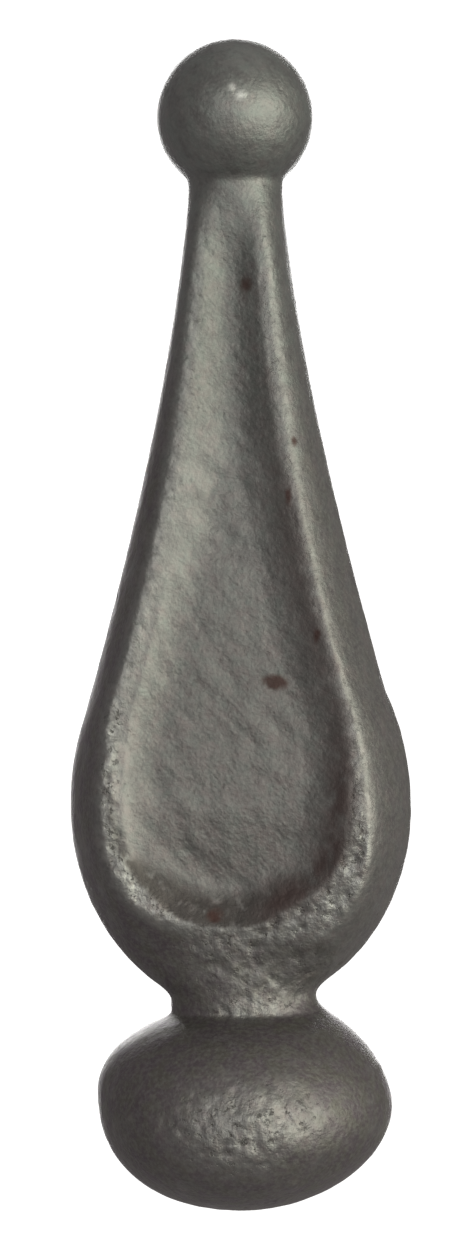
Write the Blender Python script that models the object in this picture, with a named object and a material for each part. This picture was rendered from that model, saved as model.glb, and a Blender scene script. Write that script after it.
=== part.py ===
"""Spear point for the top of a fence picket, cast in iron in one piece.

From the bottom up it is a flattened bulb with a small flat to weld on, a neck, a leaf
with a teardrop panel sunk in both faces, a shank and a ball. Metres, +Z up. The origin
is at the middle of the weld flat, +X is the right side seen from the front, and the
front faces -Y.

The skin starts as a ball of rings and columns. Each ring is moved to a level of the
spear point and each column to a place on the section there, which the functions below
work out from the sizes.
"""
from collections import namedtuple
import math

import bmesh
import bpy
import numpy as np

# Weld flat and bulb, whose two sides differ a little. A level is a height over the flat
WELD_FLAT_WIDTH = 0.0070
BULB_LEVEL_LEFT = 0.0153
BULB_LEVEL_RIGHT = 0.0131
BULB_RISE_LEFT = 0.0108
BULB_RISE_RIGHT = 0.0158
BULB_REACH_LEFT = 0.0186
BULB_REACH_RIGHT = 0.0193
BELLY_LEVEL = 0.0115
BELLY_RISE = 0.0143
BELLY_HALF_DEPTH = 0.0185

# Neck between bulb and leaf
NECK_OVER_BELLY = 0.0143
NECK_REACH_LEFT = 0.0091
NECK_REACH_RIGHT = 0.0097
NECK_HALF_DEPTH = 0.0066
NECK_FILLET = 0.0020

# Leaf: drops are measured down from its widest level, rises up from it
LEAF_DROP_LEFT = 0.0262
LEAF_DROP_RIGHT = 0.0257
LEAF_RISE = 0.0286
LEAF_REACH = 0.0221
LEAF_HALF_DEPTH = 0.0100
LEAF_DEPTH_DROP = 0.0295
SHOULDER_RISE_LEFT = 0.0121
SHOULDER_RISE_RIGHT = 0.0147

# Shank and ball
SHANK_TOP_RISE = 0.0805
SHANK_STRAIGHT = 0.0016
SHANK_REACH = 0.0061
SHANK_HALF_DEPTH = 0.0058
BALL_RADIUS = 0.01005
BALL_FILLET = 0.0008

# Sunken panel, the same on the front and the back
PANEL_SHIFT = 0.0006
PANEL_SILL = 0.0103
PANEL_MARGIN = 0.0061
PANEL_RISE = 0.0268
PANEL_SHOULDER_RISE = 0.0129
PANEL_TIP_MARGIN = 0.0025
PANEL_TIP_OVER_SHANK = 0.0005
PANEL_FADE = 0.0140
PANEL_WALL = 0.0072
PANEL_SINK = 0.0019
CREST_ROUNDING = 0.0014
CREST_FADE = 0.0600

# Curve shapes, as powers
ROUND = 2.0
FLANK_SWEEP = 1.38
PANEL_SWEEP = 1.80
PANEL_END = 2.35
CREST_SECTION = 1.3
BULB_TOP_LEFT = 2.0
BULB_TOP_RIGHT = 1.8
BULB_UNDER_LEFT = 2.25
BULB_UNDER_RIGHT = 1.9

# Mesh resolution: columns round a section, those from its side to the crest, and rings in
# each stretch from the bottom up. The tip is the last share of the flank, under the ball
COLUMNS = 64
FLANK_COLUMNS = 6
UNDERSIDE_RINGS = 9
BULB_RINGS = 5
NECK_RINGS = 10
RIM_RINGS = 10
LEAF_RINGS = 13
FLANK_RINGS = 12
SHANK_RINGS = 5
FILLET_RINGS = 2
BALL_RINGS = 12
TIP_SHARE = 1 / 8
SHARP_ANGLE_DEG = 50.0

# A length too small to show: the step of a slope, and what keeps a divisor from 0
TINY = 0.00001

# Iron, as cast
IRON_COLOUR = (0.115, 0.110, 0.100, 1.0)
IRON_ROUGHNESS = 0.42
IRON_METALLIC = 0.85

WELD_HALF = WELD_FLAT_WIDTH / 2.0
NECK_LEVEL = BELLY_LEVEL + NECK_OVER_BELLY
LEAF_LEVEL = NECK_LEVEL + LEAF_DROP_RIGHT
SHANK_TOP_LEVEL = LEAF_LEVEL + SHANK_TOP_RISE
BALL_LEVEL = SHANK_TOP_LEVEL + math.sqrt(max(BALL_RADIUS**2 - SHANK_REACH**2, 0.0))
TOP_LEVEL = BALL_LEVEL + BALL_RADIUS
PANEL_END_LEVEL = NECK_LEVEL + PANEL_SILL
PANEL_LEVEL = LEAF_LEVEL + PANEL_SHIFT
PANEL_DROP = PANEL_LEVEL - PANEL_END_LEVEL
PANEL_REACH = LEAF_REACH - PANEL_MARGIN
PANEL_SHOULDER_LEVEL = PANEL_LEVEL + PANEL_SHOULDER_RISE
PANEL_TIP_REACH = SHANK_REACH - PANEL_TIP_MARGIN
PANEL_TOP_LEVEL = SHANK_TOP_LEVEL + PANEL_TIP_OVER_SHANK

# A bulb profile: its widest level, the rise above it, the reach there and its two arches
Bulb = namedtuple("Bulb", "level rise reach top under")
# One side of the outline, seen from the front
Side = namedtuple("Side", "bulb neck_reach leaf_drop shoulder")
LEFT = Side(Bulb(BULB_LEVEL_LEFT, BULB_RISE_LEFT, BULB_REACH_LEFT, BULB_TOP_LEFT, BULB_UNDER_LEFT),
            NECK_REACH_LEFT, LEAF_DROP_LEFT, LEAF_LEVEL + SHOULDER_RISE_LEFT)
RIGHT = Side(Bulb(BULB_LEVEL_RIGHT, BULB_RISE_RIGHT, BULB_REACH_RIGHT, BULB_TOP_RIGHT, BULB_UNDER_RIGHT),
             NECK_REACH_RIGHT, LEAF_DROP_RIGHT, LEAF_LEVEL + SHOULDER_RISE_RIGHT)
# The bulb's profile seen from the side
BELLY = Bulb(BELLY_LEVEL, BELLY_RISE, BELLY_HALF_DEPTH, ROUND, ROUND)


def fullness(share, power):
    """1 at share 0 and 0 at share 1: the quarter of a rounded arch with this power."""
    share = np.clip(share, 0.0, 1.0)
    return (1.0 - share**power) ** (1.0 / power)


def ease(share):
    """Goes from 0 to 1 with a level start and end."""
    share = np.clip(share, 0.0, 1.0)
    return share * share * (3.0 - 2.0 * share)


def blended_max(first, second, fillet):
    """The larger of two curves, with the corner where they cross filled in."""
    near = np.clip(1.0 - np.abs(first - second) / fillet, 0.0, 1.0)
    return np.maximum(first, second) + near * near * fillet / 4.0


def bulb_reach(level, bulb):
    """Half-width of the bulb: an arch over its widest level and another under it.

    The arch underneath would close a little below the weld flat, which cuts it off.
    """
    cut = bulb.level / fullness(WELD_HALF / bulb.reach, bulb.under)
    under = fullness((bulb.level - level) / cut, bulb.under)
    over = fullness((level - bulb.level) / bulb.rise, bulb.top)
    return bulb.reach * np.where(level < bulb.level, under, over)


def leaf_reach(level, drop):
    """Half-width of the leaf's round lower end, an ellipse with a longer upper half."""
    upper = fullness((level - LEAF_LEVEL) / LEAF_RISE, ROUND)
    lower = fullness((LEAF_LEVEL - level) / drop, ROUND)
    return LEAF_REACH * np.where(level > LEAF_LEVEL, upper, lower)


def flank_reach(level, side):
    """Half-width of the long flank, which sweeps out from the shank to meet the leaf."""
    top = SHANK_TOP_LEVEL - SHANK_STRAIGHT
    fall = np.clip((top - level) / (top - side.shoulder), 0.0, 1.0)
    spread = leaf_reach(side.shoulder, side.leaf_drop) - SHANK_REACH
    return SHANK_REACH + spread * fall**FLANK_SWEEP


def ball_reach(level):
    """Half-width of the ball at a level, 0 beyond it."""
    return BALL_RADIUS * fullness(np.abs(level - BALL_LEVEL) / BALL_RADIUS, ROUND)


def foot_reach(level, bulb, neck):
    """Half-width of bulb and neck together, with a fillet only on the bulb's upper side."""
    joined = blended_max(bulb_reach(level, bulb), np.full_like(level, neck), NECK_FILLET)
    return np.where(level < bulb.level, bulb_reach(level, bulb), joined)


def with_ball(level, shank):
    """The shank's curve carried on into the ball, with a fillet where they meet."""
    joined = blended_max(shank, ball_reach(level), BALL_FILLET)
    return np.where(level > SHANK_TOP_LEVEL + BALL_FILLET, ball_reach(level), joined)


def outline(level, side):
    """Half-width of the whole spear point on one side, seen from the front."""
    level = np.asarray(level, dtype=float)
    leaf = leaf_reach(level, side.leaf_drop)
    body = np.where(level > side.shoulder, flank_reach(level, side), leaf)
    lower = blended_max(foot_reach(level, side.bulb, side.neck_reach), body, NECK_FILLET)
    return np.where(level < LEAF_LEVEL, lower, with_ball(level, body))


def half_depth(level):
    """Half-thickness along the crests, before the panel is sunk."""
    level = np.asarray(level, dtype=float)
    leaf = LEAF_HALF_DEPTH * fullness((LEAF_LEVEL - level) / LEAF_DEPTH_DROP, ROUND)
    lower = blended_max(foot_reach(level, BELLY, NECK_HALF_DEPTH), leaf, NECK_FILLET)
    climb = np.clip((level - LEAF_LEVEL) / (SHANK_TOP_LEVEL - LEAF_LEVEL), 0.0, 1.0)
    shank = SHANK_HALF_DEPTH + (LEAF_HALF_DEPTH - SHANK_HALF_DEPTH) * (1.0 - climb) ** FLANK_SWEEP
    return np.where(level < LEAF_LEVEL, lower, with_ball(level, shank))


def panel_round(level):
    """Half-width of the panel's round end."""
    upper = fullness((level - PANEL_LEVEL) / PANEL_RISE, PANEL_END)
    lower = fullness((PANEL_LEVEL - level) / PANEL_DROP, PANEL_END)
    return PANEL_REACH * np.where(level > PANEL_LEVEL, upper, lower)


def panel_reach(level):
    """Half-width of the panel between its crests, a teardrop drawn out up the shank."""
    level = np.asarray(level, dtype=float)
    fall = np.clip((SHANK_TOP_LEVEL - level) / (SHANK_TOP_LEVEL - PANEL_SHOULDER_LEVEL), 0.0, 1.0)
    taper = PANEL_TIP_REACH + (panel_round(PANEL_SHOULDER_LEVEL) - PANEL_TIP_REACH) * fall**PANEL_SWEEP
    return np.where(level > PANEL_SHOULDER_LEVEL, taper, panel_round(level))


def panel_share(level):
    """How much of the panel there is: 0 at its top, 1 once it has faded in."""
    return ease((PANEL_TOP_LEVEL - level) / PANEL_FADE)


def inward(across, level):
    """Distance from the crest in towards the middle of the panel, less than 0 outside it.

    On the round end it is measured along the ray from the end's centre. Up the shank it
    is the gap to the crest beside the point, shortened by the crest's slant. Between
    the end's centre and the panel's shoulder one measure passes into the other.
    """
    slant = (panel_reach(level + TINY) - panel_reach(level - TINY)) / (2.0 * TINY)
    beside = (panel_reach(level) - across) / np.sqrt(1.0 + slant**2)
    along = level - PANEL_LEVEL
    span = np.where(along > 0.0, PANEL_RISE, PANEL_DROP)
    ray = np.maximum(np.hypot(across, along), TINY)
    share = (across / PANEL_REACH) ** PANEL_END + (np.abs(along) / span) ** PANEL_END
    share = np.maximum(share, (TINY / PANEL_REACH) ** PANEL_END) ** (1.0 / PANEL_END)
    round_end = ray / share - ray
    return round_end + (beside - round_end) * ease(along / (PANEL_SHOULDER_LEVEL - PANEL_LEVEL))


def panel_depth(across, level):
    """How far the panel is sunk below the crests at a point.

    The wall falls evenly from the round rim and then runs out level. Where the panel is
    narrower than two walls, both are cut short and less deep, and meet.
    """
    narrow = np.clip(panel_reach(level) / PANEL_WALL, TINY / PANEL_WALL, 1.0)
    narrow = np.where(level > PANEL_LEVEL, narrow, 1.0)
    gap = np.maximum(inward(across, level), 0.0)
    rounded = np.hypot(gap, CREST_ROUNDING) - CREST_ROUNDING
    share = np.clip(rounded / (PANEL_WALL * narrow - CREST_ROUNDING), 0.0, 1.0)
    return panel_share(level) * PANEL_SINK * narrow * (1.5 * share - 0.5 * share**3)


def front_depth(across, level, reach):
    """Distance of the skin from the middle plane.

    On the leaf the flank falls almost straight from the crest: its share is the distance
    from the crest out of that from crest to outline. Up the shank it rounds over more and
    more. Elsewhere the section is an ellipse, whose share is the part of the half-width.
    """
    outside = np.maximum(-inward(across, level), 0.0)
    beside = np.maximum(reach - across, 0.0)
    flank = outside / np.maximum(outside + beside, TINY)
    oval = across / np.maximum(reach, TINY)
    leafy = ease((level - NECK_LEVEL) / (PANEL_END_LEVEL - NECK_LEVEL)) * panel_share(level)
    share = np.clip(oval + (flank - oval) * leafy, 0.0, 1.0)
    crisp = leafy * ease((PANEL_TOP_LEVEL - level) / CREST_FADE)
    power = ROUND + (CREST_SECTION - ROUND) * crisp
    return half_depth(level) * fullness(share, power) - panel_depth(across, level)


def even_levels(low, high, count):
    """Levels from low up to high, evenly spaced, without the last."""
    return low + (high - low) * np.arange(count) / count


def ring_levels():
    """Levels of the rings from the weld flat up, closer together where the form turns."""
    turn = np.arange(UNDERSIDE_RINGS) / UNDERSIDE_RINGS * math.pi / 2.0
    underside = BELLY_LEVEL * (1.0 - np.cos(turn))
    bulb_top = (BELLY_LEVEL + NECK_LEVEL) / 2.0
    neck_top = NECK_LEVEL + 2.0 * NECK_FILLET
    rim_top = (PANEL_END_LEVEL + PANEL_LEVEL) / 2.0
    tip_start = SHANK_TOP_LEVEL - (SHANK_TOP_LEVEL - PANEL_SHOULDER_LEVEL) * TIP_SHARE
    start = math.acos(min((BALL_LEVEL - SHANK_TOP_LEVEL) / BALL_RADIUS, 1.0))
    turn = start + (math.pi - start) * np.arange(1, BALL_RINGS) / BALL_RINGS
    return np.concatenate([
        underside,
        even_levels(BELLY_LEVEL, bulb_top, BULB_RINGS),
        even_levels(bulb_top, neck_top, NECK_RINGS),
        even_levels(neck_top, rim_top, RIM_RINGS),
        even_levels(rim_top, PANEL_SHOULDER_LEVEL, LEAF_RINGS),
        even_levels(PANEL_SHOULDER_LEVEL, tip_start, FLANK_RINGS),
        even_levels(tip_start, SHANK_TOP_LEVEL - BALL_FILLET, SHANK_RINGS),
        even_levels(SHANK_TOP_LEVEL - BALL_FILLET, SHANK_TOP_LEVEL + BALL_FILLET, FILLET_RINGS),
        BALL_LEVEL - BALL_RADIUS * np.cos(turn),
    ])


def column_share(index, guide):
    """Place of a column between the middle (0) and the side (1) of a section.

    The first columns from the side round the flank down to the guide, the crest's own
    share of the half-width, and the rest divide the panel evenly.
    """
    quarter = COLUMNS // 4
    flank = guide + (1.0 - guide) * np.cos(index / FLANK_COLUMNS * math.pi / 2.0)
    panel = guide * (quarter - index) / (quarter - FLANK_COLUMNS)
    return np.where(index < FLANK_COLUMNS, flank, panel)


def crest_guide(level):
    """The crest's share of the half-width, kept as it is above and below the leaf."""
    held = np.clip(level, LEAF_LEVEL, SHANK_TOP_LEVEL)
    return panel_reach(held) / outline(held, RIGHT)


def skin_place(ring, column, levels):
    """Where the vertices on these rings and columns go, as arrays of x, y and z."""
    level = levels[ring]
    half = COLUMNS // 2
    index = np.minimum(column % half, half - column % half)
    on_right = (column < COLUMNS // 4) | (column > COLUMNS - COLUMNS // 4)
    reach = np.where(on_right, outline(level, RIGHT), outline(level, LEFT))
    across = reach * column_share(index, crest_guide(level))
    depth = np.where(index == 0, 0.0, front_depth(across, level, reach))
    return np.where(on_right, across, -across), np.where(column < half, depth, -depth), level


def make_spear_point():
    """The casting: a ball of rings and columns, moved to the sections of the spear point."""
    levels = ring_levels()
    rings = len(levels) + 1
    bm = bmesh.new()
    bmesh.ops.create_uvsphere(bm, u_segments=COLUMNS, v_segments=rings, radius=1.0)
    start = np.array([vertex.co[:] for vertex in bm.verts])
    step = np.rint(np.arccos(np.clip(-start[:, 2], -1.0, 1.0)) / math.pi * rings).astype(int)
    turn = np.arctan2(start[:, 1], start[:, 0]) / (2.0 * math.pi) * COLUMNS
    column = np.rint(turn).astype(int) % COLUMNS
    ring = np.clip(step - 1, 0, len(levels) - 1)
    x, y, z = skin_place(ring, column, levels)
    at_pole = (step == 0) | (step == rings)
    x = np.where(at_pole, 0.0, x)
    y = np.where(at_pole, 0.0, y)
    z = np.where(step == 0, 0.0, np.where(step == rings, TOP_LEVEL, z))
    for vertex, place in zip(bm.verts, np.column_stack([x, y, z])):
        vertex.co = place
    bmesh.ops.triangulate(bm, faces=bm.faces[:])
    bmesh.ops.recalc_face_normals(bm, faces=bm.faces[:])
    mesh = bpy.data.meshes.new("spear_point")
    bm.to_mesh(mesh)
    bm.free()
    mesh.shade_smooth()
    mesh.set_sharp_from_angle(angle=math.radians(SHARP_ANGLE_DEG))
    return bpy.data.objects.new("spear_point", mesh)


def iron_material():
    """Grey iron as it leaves the mould, with a thin dull skin."""
    material = bpy.data.materials.new("cast_iron")
    material.use_nodes = True
    shader = material.node_tree.nodes["Principled BSDF"]
    shader.inputs["Base Color"].default_value = IRON_COLOUR
    shader.inputs["Roughness"].default_value = IRON_ROUGHNESS
    shader.inputs["Metallic"].default_value = IRON_METALLIC
    return material


for old in list(bpy.data.objects):
    bpy.data.objects.remove(old, do_unlink=True)

collection = bpy.data.collections.new("fence_spear_point")
bpy.context.scene.collection.children.link(collection)
spear_point = make_spear_point()
spear_point.data.materials.append(iron_material())
collection.objects.link(spear_point)
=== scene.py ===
# %% [markdown]
# # A fence spear point in cast iron
# The real object is one casting that is welded on the top of a fence picket. From the
# bottom up it has a flattened bulb, a neck, a leaf with a teardrop panel sunk in each
# face, a shank and a ball. Iron is poured into a mould of packed sand, so its skin keeps
# the grain of the sand, with pits where the sand crumbled.
# This lesson loads the solid model as a fixed frame, models the skin again as one fine
# surface with the sand's grain in it, and gives that surface its iron.

# %% Load the fixed frame
import itertools
import math
from collections import namedtuple

import bpy
import numpy as np
from mathutils import Matrix, Vector


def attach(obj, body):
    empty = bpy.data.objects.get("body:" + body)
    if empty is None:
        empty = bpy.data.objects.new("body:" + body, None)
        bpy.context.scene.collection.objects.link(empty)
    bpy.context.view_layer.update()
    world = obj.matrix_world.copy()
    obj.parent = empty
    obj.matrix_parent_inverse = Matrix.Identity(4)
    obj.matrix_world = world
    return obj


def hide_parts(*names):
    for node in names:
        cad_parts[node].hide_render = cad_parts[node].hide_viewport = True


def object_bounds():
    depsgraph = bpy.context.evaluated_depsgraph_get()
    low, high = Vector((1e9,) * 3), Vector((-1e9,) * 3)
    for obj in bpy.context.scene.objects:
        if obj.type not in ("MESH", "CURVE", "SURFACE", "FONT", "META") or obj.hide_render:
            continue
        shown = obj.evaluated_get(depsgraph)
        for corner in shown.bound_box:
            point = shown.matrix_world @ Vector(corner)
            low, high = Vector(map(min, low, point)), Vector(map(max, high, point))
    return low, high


MM = 0.001

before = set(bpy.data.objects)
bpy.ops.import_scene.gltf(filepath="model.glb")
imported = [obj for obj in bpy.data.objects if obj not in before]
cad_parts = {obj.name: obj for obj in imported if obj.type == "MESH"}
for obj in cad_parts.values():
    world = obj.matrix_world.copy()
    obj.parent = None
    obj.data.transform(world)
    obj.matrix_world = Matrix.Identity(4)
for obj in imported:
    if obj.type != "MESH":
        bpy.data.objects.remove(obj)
cad_low, cad_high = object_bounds()
print("CAD box in mm:", [round(side / MM, 1) for side in cad_high - cad_low])

# %% [markdown]
# ## The outline
# Seen from the front, the left and right sides of a hand-made pattern are never quite
# the same, so each side has its own half-width at every level. The outline could be drawn
# as a spline with many points. Arches are better here: a bulb, a leaf and a ball are all
# quarters of rounded arches, and one formula with a power makes each of them rounder or
# fuller. Metres, levels measured up from the weld flat.

# %% Sizes of bulb, neck, leaf, shank and ball
Bulb = namedtuple("Bulb", "level rise reach top under")
Side = namedtuple("Side", "bulb neck_reach leaf_drop shoulder")
ROUND = 2.0
WELD_HALF = 3.5 * MM
NECK_LEVEL = 25.8 * MM
NECK_HALF_DEPTH = 6.6 * MM
NECK_FILLET = 2.0 * MM
LEAF_LEVEL = 51.5 * MM
LEAF_REACH = 22.1 * MM
LEAF_RISE = 28.6 * MM
LEAF_HALF_DEPTH = 10.0 * MM
LEAF_DEPTH_DROP = 29.5 * MM
FLANK_SWEEP = 1.38
SHANK_REACH = 6.1 * MM
SHANK_HALF_DEPTH = 5.8 * MM
SHANK_STRAIGHT = 1.6 * MM
BALL_RADIUS = 10.05 * MM
BALL_FILLET = 0.8 * MM
BALL_LEVEL = cad_high.z - BALL_RADIUS
SHANK_TOP = BALL_LEVEL - math.sqrt(BALL_RADIUS**2 - SHANK_REACH**2)
BELLY = Bulb(level=11.5 * MM, rise=14.3 * MM, reach=cad_high.y, top=ROUND, under=ROUND)
LEFT = Side(
    bulb=Bulb(level=15.3 * MM, rise=10.8 * MM, reach=18.6 * MM, top=2.0, under=2.25),
    neck_reach=9.1 * MM,
    leaf_drop=26.2 * MM,
    shoulder=63.6 * MM,
)
RIGHT = Side(
    bulb=Bulb(level=13.1 * MM, rise=15.8 * MM, reach=19.3 * MM, top=1.8, under=1.9),
    neck_reach=9.7 * MM,
    leaf_drop=25.7 * MM,
    shoulder=66.2 * MM,
)
print(f"shank top {SHANK_TOP / MM:.1f} mm, ball centre {BALL_LEVEL / MM:.1f} mm")


# %% Small curves that everything else is made of
def fullness(share, power):
    """Rounded arch: (1 - share^power)^(1/power), from 1 at share 0 to 0 at share 1."""
    share = np.clip(share, 0.0, 1.0)
    return (1.0 - share**power) ** (1.0 / power)


def ease(share):
    """Smooth step: 3 share^2 - 2 share^3, level at 0 and at 1."""
    share = np.clip(share, 0.0, 1.0)
    return share * share * (3.0 - 2.0 * share)


def rising(value, start, width):
    """0 below start and 1 above start + width, with a smooth step in between."""
    return ease((value - start) / width)


def falling(value, end, width):
    """1 below end - width and 0 above end, with a smooth step in between."""
    return ease((end - value) / width)


def between(first, second, share):
    """first + (second - first) share: the first where share is 0, the second where it is 1."""
    return first + (second - first) * share


def blended_max(first, second, fillet):
    """The larger curve, plus near^2 fillet/4 where the two are less than a fillet apart."""
    near = np.clip(1.0 - np.abs(first - second) / fillet, 0.0, 1.0)
    return np.maximum(first, second) + near * near * fillet / 4.0


# %% Half-width of the outline on one side, and half-depth along the crests
def bulb_reach(level, bulb):
    """One arch over the widest level and one under it, which the weld flat cuts off."""
    cut = bulb.level / fullness(WELD_HALF / bulb.reach, bulb.under)
    under = fullness((bulb.level - level) / cut, bulb.under)
    over = fullness((level - bulb.level) / bulb.rise, bulb.top)
    return bulb.reach * np.where(level < bulb.level, under, over)


def foot_reach(level, bulb, neck):
    """Bulb and neck together, with a fillet only on the bulb's upper side."""
    joined = blended_max(bulb_reach(level, bulb), np.full_like(level, neck), NECK_FILLET)
    return np.where(level < bulb.level, bulb_reach(level, bulb), joined)


def leaf_reach(level, drop):
    """An ellipse whose upper half, LEAF_RISE, is longer than its lower half, drop."""
    upper = fullness((level - LEAF_LEVEL) / LEAF_RISE, ROUND)
    lower = fullness((LEAF_LEVEL - level) / drop, ROUND)
    return LEAF_REACH * np.where(level > LEAF_LEVEL, upper, lower)


def flank_reach(level, side):
    """Shank half-width plus spread fall^FLANK_SWEEP, from the shank down to the leaf."""
    top = SHANK_TOP - SHANK_STRAIGHT
    fall = np.clip((top - level) / (top - side.shoulder), 0.0, 1.0)
    spread = leaf_reach(side.shoulder, side.leaf_drop) - SHANK_REACH
    return SHANK_REACH + spread * fall**FLANK_SWEEP


def with_ball(level, shank):
    """The shank's curve carried on into a circle round BALL_LEVEL, with a small fillet."""
    ball = BALL_RADIUS * fullness(np.abs(level - BALL_LEVEL) / BALL_RADIUS, ROUND)
    return np.where(level > SHANK_TOP + BALL_FILLET, ball, blended_max(shank, ball, BALL_FILLET))


def outline(level, side):
    """Half-width on one side: bulb and neck, leaf, flank, shank and ball in turn."""
    leaf = leaf_reach(level, side.leaf_drop)
    body = np.where(level > side.shoulder, flank_reach(level, side), leaf)
    lower = blended_max(foot_reach(level, side.bulb, side.neck_reach), body, NECK_FILLET)
    return np.where(level < LEAF_LEVEL, lower, with_ball(level, body))


def half_depth(level):
    """Half-thickness along the crests: the same build as the outline, seen from the side."""
    leaf = LEAF_HALF_DEPTH * fullness((LEAF_LEVEL - level) / LEAF_DEPTH_DROP, ROUND)
    lower = blended_max(foot_reach(level, BELLY, NECK_HALF_DEPTH), leaf, NECK_FILLET)
    climb = np.clip((level - LEAF_LEVEL) / (SHANK_TOP - LEAF_LEVEL), 0.0, 1.0)
    shank = between(SHANK_HALF_DEPTH, LEAF_HALF_DEPTH, (1.0 - climb) ** FLANK_SWEEP)
    return np.where(level < LEAF_LEVEL, lower, with_ball(level, shank))


sample = np.array([10.0, 26.0, 51.5, 100.0]) * MM
print("right half-widths in mm:", np.round(outline(sample, RIGHT) / MM, 1))
print("half-depths in mm:", np.round(half_depth(sample) / MM, 1))

# %% [markdown]
# ## The sunken panel
# A teardrop panel lies below the two crests, which meet in a round rim at its foot. It
# could be cut with a Boolean, but a cut leaves sharp edges where a casting is soft. So
# the panel is a depth that is taken off the skin, and what drives it is the distance
# from the crest: 0 on the crest, positive inside. On this casting the right side of the
# rim is broad and flat near the foot, and the wall starts only behind that land. On the
# left the rim is a narrow rounded bead there, with a small step at its inner edge.

# %% Sizes of the panel and its rim
PANEL_LEVEL = 52.1 * MM
PANEL_FOOT = 36.1 * MM
PANEL_REACH = 16.0 * MM
PANEL_RISE = 26.8 * MM
PANEL_SHOULDER = 65.0 * MM
PANEL_TIP_REACH = 3.6 * MM
PANEL_TOP = 132.5 * MM
PANEL_FADE = 14.0 * MM
PANEL_WALL = 7.2 * MM
FOOT_WALL = 8.2 * MM
CREST_ROUNDING = 1.4 * MM
FOOT_ROUNDING = 0.5 * MM
CREST_FADE = 60.0 * MM
CREST_SOFTNESS = 0.6 * MM
PANEL_SINK = 1.9 * MM
FOOT_SINK = 2.7 * MM
PANEL_SWEEP = 1.80
PANEL_END = 2.35
CREST_SECTION = 1.3
FOOT_DOWNNESS = 0.6
LAND_WIDTH = 4.8 * MM
LAND_OUTSIDE = 0.68
LAND_START = math.radians(50.0)
LAND_FULL = math.radians(-55.0)
LAND_END = math.radians(-90.0)
LAND_GROWTH = 1.5
BEAD_WIDTH = 1.6 * MM
BEAD_OUTSIDE = 0.3
BEAD_END = 0.25
BEAD_TILT = 0.20
BEAD_STEP = 0.30 * MM
BEAD_STEP_WIDTH = 0.8 * MM
BEAD_FADE = 6.0 * MM
RIM_EDGE = 1.0 * MM
TINY = 0.01 * MM
PANEL_DROP = PANEL_LEVEL - PANEL_FOOT


# %% Distance from the crest
def panel_reach(level):
    """Half-width between the crests: a rounded arch below the shoulder, a taper above it."""
    upper = fullness((level - PANEL_LEVEL) / PANEL_RISE, PANEL_END)
    lower = fullness((PANEL_LEVEL - level) / PANEL_DROP, PANEL_END)
    round_end = PANEL_REACH * np.where(level > PANEL_LEVEL, upper, lower)
    at_shoulder = PANEL_REACH * fullness((PANEL_SHOULDER - PANEL_LEVEL) / PANEL_RISE, PANEL_END)
    fall = np.clip((SHANK_TOP - level) / (SHANK_TOP - PANEL_SHOULDER), 0.0, 1.0)
    taper = between(PANEL_TIP_REACH, at_shoulder, fall**PANEL_SWEEP)
    return np.where(level > PANEL_SHOULDER, taper, round_end)


def panel_share(level):
    """How much of the panel there is: 0 at its top, 1 once it has faded in."""
    return falling(level, PANEL_TOP, PANEL_FADE)


def inward(across, level):
    """Distance in from the crest, less than 0 outside it.

    On the round end it is ray / share - ray, where ray is the distance from the end's
    centre and share is how far out it is on its way to the crest. Up the shank it is the
    gap to the crest beside it, over the root of 1 + slant^2. In between the two are eased
    into each other.
    """
    slant = (panel_reach(level + TINY) - panel_reach(level - TINY)) / (2.0 * TINY)
    beside = (panel_reach(level) - across) / np.sqrt(1.0 + slant**2)
    along = level - PANEL_LEVEL
    span = np.where(along > 0.0, PANEL_RISE, PANEL_DROP)
    ray = np.maximum(np.hypot(across, along), TINY)
    share = (across / PANEL_REACH) ** PANEL_END + (np.abs(along) / span) ** PANEL_END
    share = np.maximum(share, (TINY / PANEL_REACH) ** PANEL_END) ** (1.0 / PANEL_END)
    round_end = ray / share - ray
    return between(round_end, beside, rising(level, PANEL_LEVEL, PANEL_SHOULDER - PANEL_LEVEL))


# %% The rim: a land on the right, a bead on the left
def land_width(across, level):
    """Width of the flat rim on the right, which is broadest at the lower right.

    It depends on the bearing from the round end's centre: none at LAND_START above the
    level line, LAND_WIDTH at LAND_FULL below it, and none again straight down.
    """
    bearing = np.arctan2(level - PANEL_LEVEL, across)
    turned = np.clip((LAND_START - bearing) / (LAND_START - LAND_FULL), 0.0, 1.0)
    return LAND_WIDTH * turned**LAND_GROWTH * rising(bearing, LAND_END, LAND_FULL - LAND_END)


def downness(across, level):
    """0 beside the round end's centre and above it, and 1 straight below it."""
    below = np.maximum(PANEL_LEVEL - level, 0.0)
    return below / np.maximum(np.hypot(across, below), TINY)


def bead_width(down):
    """Width of the rounded bead on the left, which grows downwards and dies out at the foot."""
    return BEAD_WIDTH * rising(down, 0.0, FOOT_DOWNNESS) * falling(down, 1.0, BEAD_END)


def bead_depth(gap, inside, land, down):
    """The bead's top falls inwards at a slope of BEAD_TILT, with a small step at its end.

    Both fade out again over BEAD_FADE, so the floor of the panel stays as it is.
    """
    step = BEAD_STEP * rising(down, 0.0, FOOT_DOWNNESS) * rising(inside, 0.0, BEAD_STEP_WIDTH)
    fall = BEAD_TILT * np.clip(gap, 0.0, land) + step
    return fall * (1.0 - rising(inside, 0.0, BEAD_FADE))


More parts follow.
